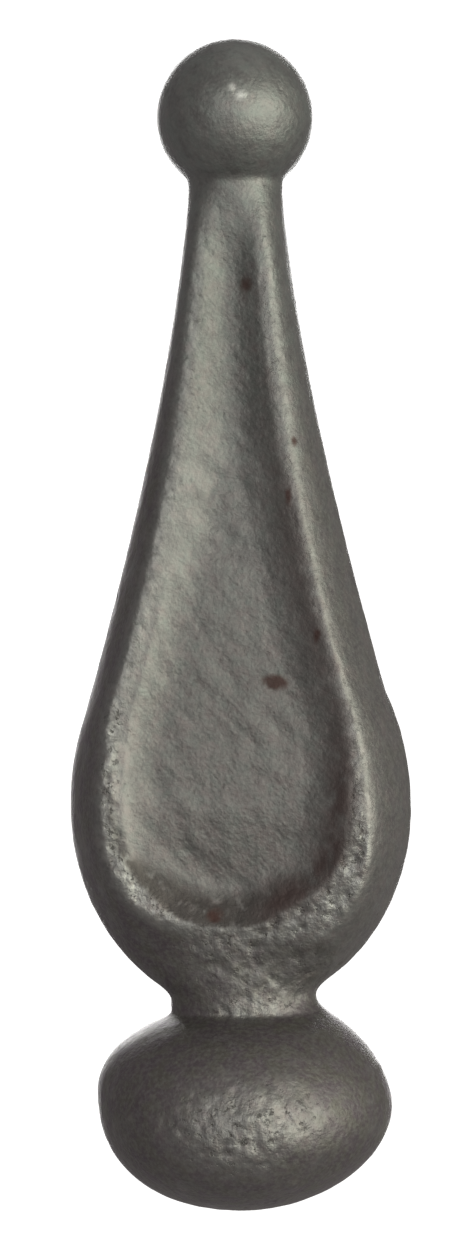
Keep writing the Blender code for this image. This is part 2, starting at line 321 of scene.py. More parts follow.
# %% How deep the panel is, and how thick the casting
def panel_depth(inside, level, down):
    """How far the skin is sunk at a distance, inside, in from the top of the wall.

    With share = distance over wall, the depth is sink (1.5 share - 0.5 share^3), which
    falls evenly at first and then runs out level. Where the panel is narrower than two
    walls, wall and depth shrink with it. At the foot the wall is deeper and its top crisper.
    """
    narrow = np.clip(panel_reach(level) / PANEL_WALL, TINY / PANEL_WALL, 1.0)
    narrow = np.where(level > PANEL_LEVEL, narrow, 1.0)
    rounding = between(CREST_ROUNDING, FOOT_ROUNDING, rising(down, 0.0, FOOT_DOWNNESS))
    rounded = np.hypot(np.maximum(inside, 0.0), rounding) - rounding
    wall = between(PANEL_WALL, FOOT_WALL, ease(down)) * narrow - rounding
    sink = between(PANEL_SINK, FOOT_SINK, falling(level, PANEL_LEVEL, PANEL_DROP))
    share = np.clip(rounded / wall, 0.0, 1.0)
    return panel_share(level) * sink * narrow * (1.5 * share - 0.5 * share**3)


def skin_depth(across, level, reach, gap, sunk):
    """Distance of the skin from the middle plane.

    It is half_depth times the rounded arch of share, less the panel's depth, sunk. On the
    leaf, share is the way from the crest out to the outline, and a power near 1 makes the
    flank almost straight; up the shank the power grows to 2 and rounds it. CREST_SOFTNESS
    rounds the start of the flank: each distance is root(distance^2 + softness^2) less the
    softness. Elsewhere share is the part of the half-width, and the power is 2, an ellipse.
    """
    outside = np.maximum(-gap, 0.0)
    beside = np.maximum(reach - across, 0.0)
    soft = np.hypot(outside, CREST_SOFTNESS) - CREST_SOFTNESS
    whole = np.hypot(outside + beside, CREST_SOFTNESS) - CREST_SOFTNESS
    flank = soft / np.maximum(whole, TINY)
    oval = across / np.maximum(reach, TINY)
    leafy = rising(level, NECK_LEVEL, PANEL_FOOT - NECK_LEVEL) * panel_share(level)
    share = np.clip(between(oval, flank, leafy), 0.0, 1.0)
    crisp = leafy * falling(level, PANEL_TOP, CREST_FADE)
    power = between(ROUND, CREST_SECTION, crisp)
    return half_depth(level) * fullness(share, power) - sunk


# %% [markdown]
# ## One grid for the whole skin
# A closed form like this is a grid of rings and columns with a fan at each end. The
# rings could be evenly spaced in height, but then the ball's top and the underside of
# the bulb, where the skin runs nearly level, would be coarse. So the rings are evenly
# spaced along the profile. More columns go to the front than to the plainer back.

# %% Rings and columns
RINGS = 396
FLAT_RINGS = 4
FRONT_COLUMNS = 150
BACK_COLUMNS = 98
PROFILE_STEPS = 4000

top_level = BALL_LEVEL + BALL_RADIUS
half_turn = np.linspace(0.0, math.pi, PROFILE_STEPS)
fine_levels = top_level - top_level * (1.0 + np.cos(half_turn)) / 2.0
steps = np.hypot(np.diff(fine_levels), np.diff(outline(fine_levels, RIGHT)))
travelled = np.concatenate([[0.0], np.cumsum(steps)])
ring_level = np.interp(np.linspace(0.0, travelled[-1], RINGS + 1)[:-1], travelled, fine_levels)
back_turn = np.linspace(0.0, math.pi, BACK_COLUMNS + 1)[:-1]
front_turn = np.linspace(math.pi, 2.0 * math.pi, FRONT_COLUMNS + 1)[:-1]
column_turn = np.concatenate([back_turn, front_turn])
print("profile", round(travelled[-1] / MM, 1), "mm,", RINGS, "rings of", len(column_turn), "columns")

# %% The place of every vertex
level, turn = np.meshgrid(ring_level, column_turn, indexing="ij")
on_right = np.cos(turn) > 0.0
on_front = np.sin(turn) < 0.0
reach = np.where(on_right, outline(level, RIGHT), outline(level, LEFT))
across = reach * np.abs(np.cos(turn))
down = downness(across, level)
land = np.where(on_right, land_width(across, level), bead_width(down)) * on_front
outside = land * np.where(on_right, LAND_OUTSIDE, BEAD_OUTSIDE)
gap = inward(across, level) + outside
inside = gap - land
beaded = rising(land, 0.0, RIM_EDGE) * on_front * ~on_right
sunk = panel_depth(inside, level, down) + bead_depth(gap, inside, land, down) * beaded
depth = skin_depth(across, level, reach, gap, sunk)
x = np.where(on_right, across, -across)
y = np.where(on_front, -depth, depth)
z = level
skin = np.stack([x, y, z], axis=-1)
print("thickest", round(2.0 * depth.max() / MM, 1), "mm, panel sunk", round(sunk.max() / MM, 1), "mm")

# %% [markdown]
# ## The grain of the sand
# Sand grains, crumbled edges and pits are real relief, so the larger ones belong in the
# mesh. They could be sculpted by hand. Noise is repeatable and even: random numbers are
# put on the corners of small cubes and eased in between. The same noise, stretched,
# makes the slanting streaks on the floor of the panel, and cut off below a threshold it
# makes pits. Ovals on the front say where the sand crumbled most.

# %% Noise in space
LATTICE = 48
PIT_EDGE = 0.45


def noise(places, size, seed):
    """Random numbers from -1 to 1 on the corners of cubes of this size, eased in between."""
    table = np.random.default_rng(seed).uniform(-1.0, 1.0, (LATTICE,) * 3)
    cell = places / size
    corner = np.floor(cell).astype(int)
    part = ease(cell - corner)
    total = np.zeros(places.shape[:-1])
    for step in itertools.product((0, 1), repeat=3):
        weight = np.prod(np.where(np.array(step) == 1, part, 1.0 - part), axis=-1)
        i, j, k = np.moveaxis((corner + step) % LATTICE, -1, 0)
        total += weight * table[i, j, k]
    return total


def clouds(places, size, seed):
    """Noise plus half as much noise of half the size."""
    return noise(places, size, seed) + noise(places, size / 2.0, seed + 1) / 2.0


def pits(places, size, seed, threshold):
    """0 on sound skin and up to 1 in a pit, where the noise is above the threshold."""
    return rising(clouds(places, size, seed), threshold, PIT_EDGE)


# %% Places on the front
Oval = namedtuple("Oval", "x z half_width half_height")
Stretch = namedtuple("Stretch", "low rise high fall")


def patch(oval, softness=0.5):
    """1 inside an oval seen from the front, fading to 0 over its edge."""
    away = np.hypot((x - oval.x) / oval.half_width, (z - oval.z) / oval.half_height)
    return falling(away, 1.0 + softness, 2.0 * softness)


def on_stretch(stretch):
    """1 between two levels: it rises above the low one and has fallen to 0 at the high one."""
    return rising(z, stretch.low, stretch.rise) * falling(z, stretch.high, stretch.fall)


def band(value, centre, width):
    """A bell of height 1 round a value: exp of minus the squared distance in widths."""
    return np.exp(-(((value - centre) / width) ** 2))


# %% Where the skin is rough
UNDER_RIM = Oval(4.0 * MM, 31.8 * MM, 10.0 * MM, 4.6 * MM)
RIM_CRUMBS = Oval(-1.0 * MM, 34.2 * MM, 5.6 * MM, 1.6 * MM)
NECK_FRONT = Oval(1.8 * MM, 26.1 * MM, 5.0 * MM, 1.3 * MM)
BULB_FRONT = Oval(2.6 * MM, 11.8 * MM, 9.4 * MM, 5.6 * MM)
BULB_WORN = Oval(9.8 * MM, 8.6 * MM, 3.4 * MM, 2.4 * MM)
BULB_WEAR = 0.75
LEFT_RIM = Stretch(38.0 * MM, 4.0 * MM, 68.0 * MM, 6.0 * MM)
LEFT_RIM_GAP = 0.3 * MM
LEFT_RIM_WIDTH = 1.6 * MM
CREST_WIDTH = 1.1 * MM
LEAF_EDGE = 4.0 * MM
CRUMBLED = 0.6
PITTED = 0.8
WORN = 0.25
BACK_ROUGH = 0.5

on_leaf = rising(z, PANEL_FOOT - LEAF_EDGE, LEAF_EDGE) * panel_share(z)
rim_top = rising(gap, -RIM_EDGE / 2.0, RIM_EDGE) * falling(inside, RIM_EDGE / 2.0, RIM_EDGE)
rim_top *= rising(land, 0.0, RIM_EDGE)
crest = np.maximum(band(gap, 0.0, CREST_WIDTH), rim_top) * on_leaf
left_rim = (x < 0.0) * band(gap, LEFT_RIM_GAP, LEFT_RIM_WIDTH) * on_stretch(LEFT_RIM)
under_rim = patch(UNDER_RIM)
bulb_patch = patch(BULB_FRONT) * (1.0 - BULB_WEAR * patch(BULB_WORN))
rough = CRUMBLED * (under_rim + patch(RIM_CRUMBS)) + bulb_patch + patch(NECK_FRONT)
rough += PITTED * (rim_top * on_leaf + left_rim) + WORN * crest
rough = np.where(on_front, np.clip(rough, 0.0, 1.0), BACK_ROUGH * crest)
print("rough share of the skin:", round(float(rough.mean()), 3))

# %% Heights of the relief
Relief = namedtuple("Relief", "height size seed")
GRAIN = Relief(0.030 * MM, 1.3 * MM, 11)
STREAK = Relief(0.120 * MM, 1.9 * MM, 23)
LUMP = Relief(0.190 * MM, 1.5 * MM, 37)
PIT = Relief(0.220 * MM, 1.3 * MM, 51)
LONE_PIT = Relief(0.132 * MM, 1.4 * MM, 67)
PIT_THRESHOLD = 0.15
LONE_PIT_THRESHOLD = 0.80
STREAK_TURN = math.radians(42.0)
STREAK_SQUEEZE = 0.45
WALL_STREAKS = 0.35
FLOOR_START = 2.0 * MM
FLOOR_EDGE = 4.0 * MM

streak_places = skin @ np.array([
    [math.cos(STREAK_TURN), 0.0, STREAK_SQUEEZE * math.sin(STREAK_TURN)],
    [0.0, 1.0, 0.0],
    [math.sin(STREAK_TURN), 0.0, -STREAK_SQUEEZE * math.cos(STREAK_TURN)],
])
streaked = between(WALL_STREAKS, 1.0, rising(inside, FLOOR_START, FLOOR_EDGE) * on_leaf)
streaked *= on_leaf * (gap > -RIM_EDGE)
relief = GRAIN.height * clouds(skin, GRAIN.size, GRAIN.seed)
relief += streaked * STREAK.height * clouds(streak_places, STREAK.size, STREAK.seed)
relief += rough * LUMP.height * clouds(skin, LUMP.size, LUMP.seed)
relief -= rough * PIT.height * pits(skin, PIT.size, PIT.seed, PIT_THRESHOLD)
lone_pits = pits(skin, LONE_PIT.size, LONE_PIT.seed, LONE_PIT_THRESHOLD)
relief -= (1.0 - rough) * LONE_PIT.height * lone_pits
print("relief from", round(float(relief.min()) / MM, 3), "to", round(float(relief.max()) / MM, 3), "mm")

# %% A low ledge inside the left crest, and two small bumps on the bulb
Bump = namedtuple("Bump", "oval height")
LEDGE = Stretch(36.0 * MM, 6.0 * MM, 84.0 * MM, 10.0 * MM)
LEDGE_HEIGHT = 0.14 * MM
LEDGE_GAP = 2.4 * MM
LEDGE_WIDTH = 0.55 * MM
SPOT_SOFTNESS = 0.9
BUMPS = (
    Bump(Oval(7.8 * MM, 4.6 * MM, 0.7 * MM, 0.7 * MM), 0.30 * MM),
    Bump(Oval(17.9 * MM, 18.3 * MM, 0.6 * MM, 0.6 * MM), 0.25 * MM),
)

ledge = band(gap, LEDGE_GAP, LEDGE_WIDTH) * on_stretch(LEDGE) * (x < 0.0)
bumps = sum(bump.height * patch(bump.oval, SPOT_SOFTNESS) for bump in BUMPS)
relief += (LEDGE_HEIGHT * ledge + bumps) * on_front
print("highest relief", round(float(relief.max()) / MM, 3), "mm")

# %% Move the skin along its normals and close its ends
SKIN_INSET = 2.0 * GRAIN.height
SHORTEST = 1e-12

along_column = np.roll(skin, -1, axis=1) - np.roll(skin, 1, axis=1)
along_ring = np.gradient(skin, axis=0)
normal = np.cross(along_column, along_ring)
normal /= np.maximum(np.linalg.norm(normal, axis=-1, keepdims=True), SHORTEST)
cast_skin = skin + normal * (relief - SKIN_INSET)[..., None]
shrink = np.linspace(0.0, 1.0, FLAT_RINGS + 1)[1:-1]
flat_rings = cast_skin[:1] * shrink[:, None, None]
cast_skin = np.clip(np.concatenate([flat_rings, cast_skin]), cad_low, cad_high)
rings, columns = cast_skin.shape[:2]
vertices = np.concatenate([
    cast_skin.reshape(-1, 3),
    [[0.0, 0.0, cad_low.z]],
    [cast_skin[-1].mean(axis=0)],
])

index = np.arange(rings * columns).reshape(rings, columns)
following = np.roll(index, -1, axis=1)
quads = np.stack([index[:-1], following[:-1], following[1:], index[1:]], axis=-1).reshape(-1, 4)
bottom_fan = np.stack([following[0], index[0], np.full(columns, rings * columns)], axis=-1)
top_fan = np.stack([index[-1], following[-1], np.full(columns, rings * columns + 1)], axis=-1)
faces = quads.tolist() + bottom_fan.tolist() + top_fan.tolist()
print(len(vertices), "vertices,", 2 * len(quads) + 2 * columns, "triangles")

# %% [markdown]
# ## Where the iron changes
# A few spots have started to rust, and the ball has two painted highlights: bright spots
# of colour where it mirrors a lamp. Dark dirt, together with painted shade, sits in the
# corner at the foot of the panel, and the wall on the right is stained red and painted
# darker as shade. A purple-brown patina covers the flanks and the bulb where no hand rubs;
# it also carries painted shade, so there is less of it on the right flank, which faces the
# window, and more under the rim. The floor of the panel is painted darker. These could be
# painted on an image, but then every change of the shape would move them. Here each is a
# mask: one number for each vertex, worked out from the same distances and levels as the
# shape.

# %% Rust, and two painted highlights on the ball
RUST_SPOTS = (
    Oval(1.9 * MM, 118.0 * MM, 0.8 * MM, 1.2 * MM),
    Oval(7.4 * MM, 91.0 * MM, 0.5 * MM, 1.1 * MM),
    Oval(8.2 * MM, 98.0 * MM, 0.4 * MM, 0.6 * MM),
    Oval(4.9 * MM, 67.7 * MM, 1.0 * MM, 0.8 * MM),
    Oval(6.2 * MM, 67.4 * MM, 1.1 * MM, 0.9 * MM),
    Oval(11.0 * MM, 73.4 * MM, 0.5 * MM, 1.0 * MM),
    Oval(-2.3 * MM, 38.0 * MM, 1.0 * MM, 1.0 * MM),
)
# Two painted highlights on the ball: bright spots of colour where it mirrors a lamp.
PAINTED_GLINTS = (
    Oval(2.0 * MM, 141.6 * MM, 0.7 * MM, 0.5 * MM),
    Oval(0.9 * MM, 142.7 * MM, 0.4 * MM, 0.4 * MM),
)
PAINTED_GLINT_SOFTNESS = 0.8

rust = np.clip(sum(patch(spot, SPOT_SOFTNESS) for spot in RUST_SPOTS), 0.0, 1.0) * on_front
# Mask of the painted highlights on the ball.
painted_glint = np.clip(sum(patch(spot, PAINTED_GLINT_SOFTNESS) for spot in PAINTED_GLINTS), 0.0, 1.0) * on_front
print(len(RUST_SPOTS), "rust spots,", len(PAINTED_GLINTS), "glints")

# %% Dirt and painted shade at the foot of the panel, and the stained, shaded wall
FOOT_DIRT_WIDTH = 5.0 * MM
RIGHT_DIRT_LOSS = 0.4
GROOVE = Stretch(36.0 * MM, 4.0 * MM, 57.0 * MM, 6.0 * MM)
GROOVE_SHADE = 0.55
WALL_STAIN_AND_SHADE = 0.6
FOOT_STAIN_AND_SHADE = 0.4

# Dirt with painted shade in the corner at the foot of the panel, with less of it on the right. A
# painted shadow line runs just inside the left crest.
dirt_width = FOOT_DIRT_WIDTH * ease(down)
dirt_and_shade = rising(inside, start=0.0, width=0.5 * MM) * rising(dirt_width, 0.0, RIM_EDGE)
dirt_and_shade *= falling(inside, end=dirt_width + 0.8 * MM, width=2.6 * MM)
dirt_and_shade *= 1.0 - RIGHT_DIRT_LOSS * rising(x, start=0.0, width=10.0 * MM)
groove = band(inside, centre=0.7 * MM, width=0.6 * MM) * (x < 0.0) * on_stretch(GROOVE)
dirt_and_shade = np.maximum(dirt_and_shade, GROOVE_SHADE * groove) * on_leaf * on_front

# A red stain on the right wall of the panel, made darker as painted shade, since that wall faces away
# from the window.
stain_and_shade = WALL_STAIN_AND_SHADE * falling(z, end=125.0 * MM, width=40.0 * MM)
stain_and_shade += FOOT_STAIN_AND_SHADE * falling(z, end=66.0 * MM, width=14.0 * MM)
stain_and_shade *= rising(x, start=1.0 * MM, width=5.0 * MM) * band(inside, centre=1.5 * MM, width=2.2 * MM)
stain_and_shade *= on_leaf * on_front
print("dirty share", round(float(dirt_and_shade.mean()), 3), "and stained share", round(float(stain_and_shade.mean()), 3))

# %% Patina and painted shade on the flanks and the bulb, and a darker floor of the panel
RUBBED_OFF = 0.8
RIGHT_FLANK_SHADE_LOSS = 0.6
UNDER_RIM_PATINA_AND_SHADE = 0.5
HIGHER_FLOOR_LOSS = 0.55
UPPER_FLOOR_DARKENING = 0.95

# Patina with painted shade on the flanks, the bulb and under the rim. There is less of it on the right
# flank, which faces the window.
flanks = falling(gap, end=-0.6 * MM, width=1.6 * MM) * falling(z, end=120.0 * MM, width=30.0 * MM)
bulb = falling(z, end=25.0 * MM, width=3.0 * MM) * (1.0 - bulb_patch * on_front)
right_flank = rising(x, start=0.0, width=9.0 * MM) * rising(z, start=NECK_LEVEL, width=4.0 * MM)
patina_and_shade = np.maximum(flanks, bulb) * (1.0 - RUBBED_OFF * rough) * (1.0 - RIGHT_FLANK_SHADE_LOSS * right_flank)
patina_and_shade = np.maximum(patina_and_shade, UNDER_RIM_PATINA_AND_SHADE * under_rim * on_front)

# The floor of the panel is painted darker, more low down and near its top than in the middle.
lower_darkening = rising(inside, start=1.0 * MM, width=5.0 * MM)
lower_darkening *= 1.0 - HIGHER_FLOOR_LOSS * rising(z, start=66.0 * MM, width=22.0 * MM)
upper_darkening = UPPER_FLOOR_DARKENING * rising(inside, 0.0, RIM_EDGE) * rising(z, start=92.0 * MM, width=14.0 * MM)
panel_darkening = np.maximum(lower_darkening, upper_darkening) * on_leaf
print("patina share", round(float(patina_and_shade.mean()), 3), "and dust share", round(float(panel_darkening.mean()), 3))

# %% The mesh, with the masks that its finish reads
mesh = bpy.data.meshes.new("spear_point_casting")
mesh.from_pydata(vertices, [], faces)


def store(name, values):
    """Keeps one number per vertex on the mesh, for the material to read by name."""
    grid = np.concatenate([np.repeat(values[:1], FLAT_RINGS - 1, axis=0), values])
    numbers = np.concatenate([grid.ravel(), [values[0].mean(), values[-1].mean()]])
    attribute = mesh.attributes.new(name, "FLOAT", "POINT")
    attribute.data.foreach_set("value", numbers.astype(np.float32))


store("rough", rough)
store("crest", crest)
store("rust", rust)
store("stain_and_shade", stain_and_shade)
store("dirt_and_shade", dirt_and_shade)
store("patina_and_shade", patina_and_shade)
store("painted_glint", painted_glint)
store("panel", panel_darkening)
mesh.shade_smooth()
spear_point = bpy.data.objects.new("spear_point_casting", mesh)
bpy.context.scene.collection.objects.link(spear_point)
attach(spear_point, "root")
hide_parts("spear_point")
print(len(mesh.polygons), "faces,", len(mesh.attributes), "attributes")

# %% [markdown]
# ## Writing a material as sums
# A node tree is quick to draw and slow to write. So one small class wraps a socket: a
# sum, difference or product of two such values adds the Math node that works it out.
# Every other node comes from one method that is told the node's type, its settings and
# what goes into its sockets. A Math node would turn a colour grey, so colours only go
# through Mix.


# %% The two classes
class Value:
    """A number that changes over the surface. Sums of values add their Math nodes."""

    def __init__(self, finish, socket):
        self.finish = finish
        self.socket = socket

    def combined(self, operation, first, second):
        """The output of a Math node with this operation on the two values."""
        return self.finish.add("ShaderNodeMath", {"operation": operation}, {0: first, 1: second})

    def __add__(self, other):
        return self.combined("ADD", self, other)

    def __radd__(self, other):
        return self.combined("ADD", other, self)

    def __sub__(self, other):
        return self.combined("SUBTRACT", self, other)

    def __rsub__(self, other):
        return self.combined("SUBTRACT", other, self)

    def __mul__(self, other):
        return self.combined("MULTIPLY", self, other)

    def __rmul__(self, other):
        return self.combined("MULTIPLY", other, self)


Cloud = namedtuple("Cloud", "size detail roughness low high", defaults=(3.0, 0.5, 0.0, 1.0))


class Finish:
    """A material whose nodes are added one call at a time."""

    def __init__(self, name):
        self.material = bpy.data.materials.new(name)
        self.material.use_nodes = True
        self.tree = self.material.node_tree
        self.shader = self.tree.nodes["Principled BSDF"]

    def feed(self, socket, value):
        """Links a value to a socket, or sets a plain number or colour on it."""
        if isinstance(value, Value):
            self.tree.links.new(value.socket, socket)
        else:
            socket.default_value = value

    def add(self, kind, settings, inputs, output=0):
        """Adds a node, makes its settings, feeds its inputs and gives one of its outputs."""
        node = self.tree.nodes.new(kind)
        for name, setting in settings.items():
            setattr(node, name, setting)
        for name, value in inputs.items():
            self.feed(node.inputs[name], value)
        return Value(self, node.outputs[output])

    def mask(self, name):
        """A mask that the mesh keeps, read by its name."""
        return self.add("ShaderNodeAttribute", {"attribute_name": name}, {}, "Fac")

    def cloud(self, places, kind):
        """Noise from 0 to 1 whose blotches are about as large as the cloud's size."""
        look = {"Scale": 1.0 / kind.size, "Detail": kind.detail, "Roughness": kind.roughness}
        return self.add("ShaderNodeTexNoise", {}, {"Vector": places, **look}, "Fac")

    def step(self, value, low, high):
        """0 where a value is under low, 1 where it is over high, and smooth in between."""
        inputs = {"Value": value, "From Min": low, "From Max": high}
        return self.add("ShaderNodeMapRange", {"interpolation_type": "SMOOTHSTEP"}, inputs)

    def patches(self, places, kind):
        """A cloud cut to patches: 0 where it is under its low value, 1 where over its high one."""
        return self.step(self.cloud(places, kind), kind.low, kind.high)

    def mixed(self, share, first, second):
        """The first colour where share is 0 and the second where it is 1."""
        settings = {"data_type": "RGBA"}
        return self.add("ShaderNodeMix", settings, {"Factor": share, 6: first, 7: second}, 2)


# %% [markdown]
# ## Cast iron
# Bare cast iron is a dark grey metal with a thin skin of scale, greener in one place and
# browner in the next. It is dull, but it still mirrors a window as a broad soft glow. The
# crests and the rough patches are painted brighter, partly as rubbed wear and partly as a
# painted highlight for the light they catch. Pits hold dark dirt, and a few spots have
# started to rust. Some layers also carry painted shade. One Principled shader does all of
# it: masks on the mesh say where, noise breaks their edges, and each layer of colour goes
# over the ones before it. A Bump node adds the finest grains, which are smaller than the
# mesh can hold.

# %% The iron's colours
GREEN_IRON = (0.098, 0.105, 0.096, 1.0)
BROWN_IRON = (0.117, 0.103, 0.098, 1.0)
DARK_IRON = (0.080, 0.078, 0.074, 1.0)
# Lighter iron for bright specks, and for the crests and rough patches, partly wear and partly painted
# highlight.
RUBBED_AND_SHEEN_IRON = (0.142, 0.141, 0.132, 1.0)
# Darker tones for the floor of the panel.
GREEN_FLOOR_TONE = (0.054, 0.059, 0.052, 1.0)
BROWN_FLOOR_TONE = (0.064, 0.055, 0.051, 1.0)
# Painted highlight colour for the two bright spots on the ball.
PAINTED_GLINT_COLOUR = (0.300, 0.300, 0.280, 1.0)
PIT_DIRT = (0.030, 0.027, 0.024, 1.0)
# Dark red for the stain and painted shade on the right wall.
RED_STAIN_AND_SHADE = (0.030, 0.018, 0.016, 1.0)
# Dark brown for dirt with painted shade at the foot of the panel.
FOOT_DIRT_AND_SHADE = (0.026, 0.0225, 0.020, 1.0)
# Patina colours, which also carry painted shade on the flanks, the bulb and under the rim.
PURPLE_PATINA_SHADE = (0.062, 0.049, 0.055, 1.0)
BROWN_PATINA_SHADE = (0.065, 0.060, 0.050, 1.0)
RUST = (0.028, 0.011, 0.008, 1.0)

# %% The clouds that break the colours up
TINT_CLOUD = Cloud(1.8 * MM, detail=5.0, roughness=0.6)
BLOTCH_CLOUD = Cloud(1.7 * MM, detail=5.0, roughness=0.6, low=0.32, high=0.62)
SPECK_CLOUD = Cloud(0.55 * MM, roughness=0.6, low=0.35, high=0.70)
PIT_CLOUD = Cloud(1.0 * MM, detail=4.0, roughness=0.65, low=0.56, high=0.70)
RUST_CLOUD = Cloud(0.8 * MM, low=0.60, high=1.50)
PATINA_CLOUD = Cloud(4.0 * MM, low=0.15, high=0.50)
PATINA_TINT_CLOUD = Cloud(2.2 * MM, detail=5.0, roughness=0.6, low=0.38, high=0.62)
STAIN_CLOUD = Cloud(3.0 * MM, low=0.20, high=0.55)
DIRT_CLOUD = Cloud(1.6 * MM, low=0.15, high=0.50)
RUBBED_CLOUD = Cloud(1.2 * MM, low=0.35, high=0.65)
FINE_CLOUD = Cloud(0.45 * MM, detail=2.0)
COARSE_CLOUD = Cloud(0.85 * MM)
STREAK_CLOUD = Cloud(0.8 * MM, detail=2.0)
STREAK_LENGTH = 2.0
TINT_SPREAD = 2.0
TINT_SHIFT = 0.5
TINT_LEVEL = 75.0 * MM
TINT_RANGE = 260.0 * MM
SMOOTH_SKIN_PITS = 0.15
RUST_GRAIN = 0.9
RUBBED_FOOT = 1.1
RUBBED_FALL = 7.0
RUBBED_ROUGH = 0.7

iron = Finish("cast_iron_skin")
places = iron.add("ShaderNodeTexCoord", {}, {}, "Object")
height_up = iron.add("ShaderNodeSeparateXYZ", {}, {"Vector": places}, "Z")
slanted = iron.add("ShaderNodeMapping", {}, {"Vector": places, "Rotation": (0.0, STREAK_TURN, 0.0)})
streak_scale = (1.0, 1.0, 1.0 / STREAK_LENGTH)
stretched = iron.add("ShaderNodeMapping", {}, {"Vector": slanted, "Scale": streak_scale})
tint = TINT_SPREAD * iron.cloud(places, TINT_CLOUD) - TINT_SHIFT
tint = iron.step(tint + (height_up - TINT_LEVEL) * (1.0 / TINT_RANGE), TINT_CLOUD.low, TINT_CLOUD.high)
specks = iron.cloud(places, SPECK_CLOUD)
rough_mask = iron.mask("rough")
panel_mask = iron.mask("panel")
pit_mask = iron.patches(places, PIT_CLOUD) * between(SMOOTH_SKIN_PITS, 1.0, rough_mask)
rust_cloud = iron.mask("rust") + RUST_GRAIN * iron.cloud(places, RUST_CLOUD)
rust_mask = iron.step(rust_cloud, RUST_CLOUD.low, RUST_CLOUD.high)
patina_and_shade_mask = iron.mask("patina_and_shade") * iron.patches(places, PATINA_CLOUD)
stain_and_shade_mask = iron.mask("stain_and_shade") * iron.patches(places, STAIN_CLOUD)
dirt_and_shade_mask = iron.mask("dirt_and_shade") * iron.patches(places, DIRT_CLOUD)
# Brighter on the crests, more so low down, and on the rough patches: partly rubbed wear and partly
# painted highlight.
rubbed_and_sheen_mask = iron.mask("crest") * (RUBBED_FOOT - RUBBED_FALL * height_up) + RUBBED_ROUGH * rough_mask
rubbed_and_sheen_mask = rubbed_and_sheen_mask * iron.patches(places, RUBBED_CLOUD)
print(len(iron.tree.nodes), "nodes for the masks")

# %% The layers of colour, from the iron up
PANEL_DARKENING_COVER = 0.55
PATINA_AND_SHADE_COVER = 0.85
SPECK_COVER = 0.35
RUBBED_AND_SHEEN_COVER = 0.80
PAINTED_GLINT_COVER = 0.90
PIT_COVER = 0.80
DIRT_AND_SHADE_COVER = 0.90
STAIN_AND_SHADE_COVER = 0.85
RUST_COVER = 0.85

panel_floor_colour = iron.mixed(tint, BROWN_FLOOR_TONE, GREEN_FLOOR_TONE)
patina_and_shade_colour = iron.mixed(iron.patches(places, PATINA_TINT_CLOUD), PURPLE_PATINA_SHADE, BROWN_PATINA_SHADE)
layers = (
    (1.0 - iron.patches(stretched, BLOTCH_CLOUD), DARK_IRON),
    (PANEL_DARKENING_COVER * panel_mask, panel_floor_colour),
    (PATINA_AND_SHADE_COVER * patina_and_shade_mask, patina_and_shade_colour),
    (SPECK_COVER * iron.step(specks, SPECK_CLOUD.low, SPECK_CLOUD.high), RUBBED_AND_SHEEN_IRON),
    (RUBBED_AND_SHEEN_COVER * rubbed_and_sheen_mask, RUBBED_AND_SHEEN_IRON),
    (PAINTED_GLINT_COVER * iron.mask("painted_glint"), PAINTED_GLINT_COLOUR),
    (PIT_COVER * pit_mask, PIT_DIRT),
    (DIRT_AND_SHADE_COVER * dirt_and_shade_mask, FOOT_DIRT_AND_SHADE),
    (STAIN_AND_SHADE_COVER * stain_and_shade_mask, RED_STAIN_AND_SHADE),
    (RUST_COVER * rust_mask, RUST),
)
colour = iron.mixed(tint, BROWN_IRON, GREEN_IRON)
for share, layer in layers:
    colour = iron.mixed(share, colour, layer)
print(len(layers), "layers of colour")

# %% How dull, how metallic and how bumpy
IRON_ROUGHNESS = 0.47
SPECK_ROUGHNESS = 0.12
PATINA_ROUGHNESS = 0.06
RUBBED_SHINE = 0.05
PIT_ROUGHNESS = 0.15
RUST_ROUGHNESS = 0.10
IRON_METALLIC = 0.85
RUST_LOSS = 0.1
PIT_LOSS = 0.2
FINE_GRAIN = 0.060 * MM
COARSE_GRAIN = 0.150 * MM
STREAK_GRAIN = 0.080 * MM
PIT_GRAIN = 0.4 * PIT.height
SMOOTH_COARSE = 0.42
ROUGH_COARSE = 1.30
FLANK_STREAKS = 0.25

dull = IRON_ROUGHNESS + SPECK_ROUGHNESS * specks + PATINA_ROUGHNESS * patina_and_shade_mask
dull = dull - RUBBED_SHINE * rubbed_and_sheen_mask + PIT_ROUGHNESS * pit_mask + RUST_ROUGHNESS * rust_mask
metal = IRON_METALLIC - RUST_LOSS * (rust_mask + stain_and_shade_mask) - PIT_LOSS * pit_mask
fine = iron.cloud(places, FINE_CLOUD)
coarse = iron.cloud(places, COARSE_CLOUD) * between(SMOOTH_COARSE, ROUGH_COARSE, rough_mask)
streaks = iron.cloud(stretched, STREAK_CLOUD) * between(FLANK_STREAKS, 1.0, panel_mask)
height = FINE_GRAIN * fine + COARSE_GRAIN * coarse + STREAK_GRAIN * streaks - PIT_GRAIN * pit_mask
bump = iron.add("ShaderNodeBump", {}, {"Strength": 1.0, "Distance": 1.0, "Height": height})

iron.feed(iron.shader.inputs["Base Color"], colour)
iron.feed(iron.shader.inputs["Roughness"], dull)
iron.feed(iron.shader.inputs["Metallic"], metal)
iron.feed(iron.shader.inputs["Normal"], bump)
mesh.materials.append(iron.material)
print(len(iron.tree.nodes), "nodes in the iron")

# %% [markdown]
# ## A pale floor
# The photograph shows the casting on white. A flat plane would end in a horizon line, so
# the floor here is a wide dish: level in the middle, and turned up in a round sweep far
# out, all round, so that every view has it for its background. Rays that bounce off the
# iron don't see it, because a real sheet of white paper that near would light the
# underside of the bulb, which is dark in the photograph.

# %% The floor
FLOOR_LEVEL = -0.45
FLOOR_FLAT = 2.2
FLOOR_INNER = 1.1
FLOOR_SWEEP = 1.8
FLOOR_GLOW = 0.62
FLOOR_GREY = 0.85
SWEEP_RINGS = 24
FLOOR_COLUMNS = 96

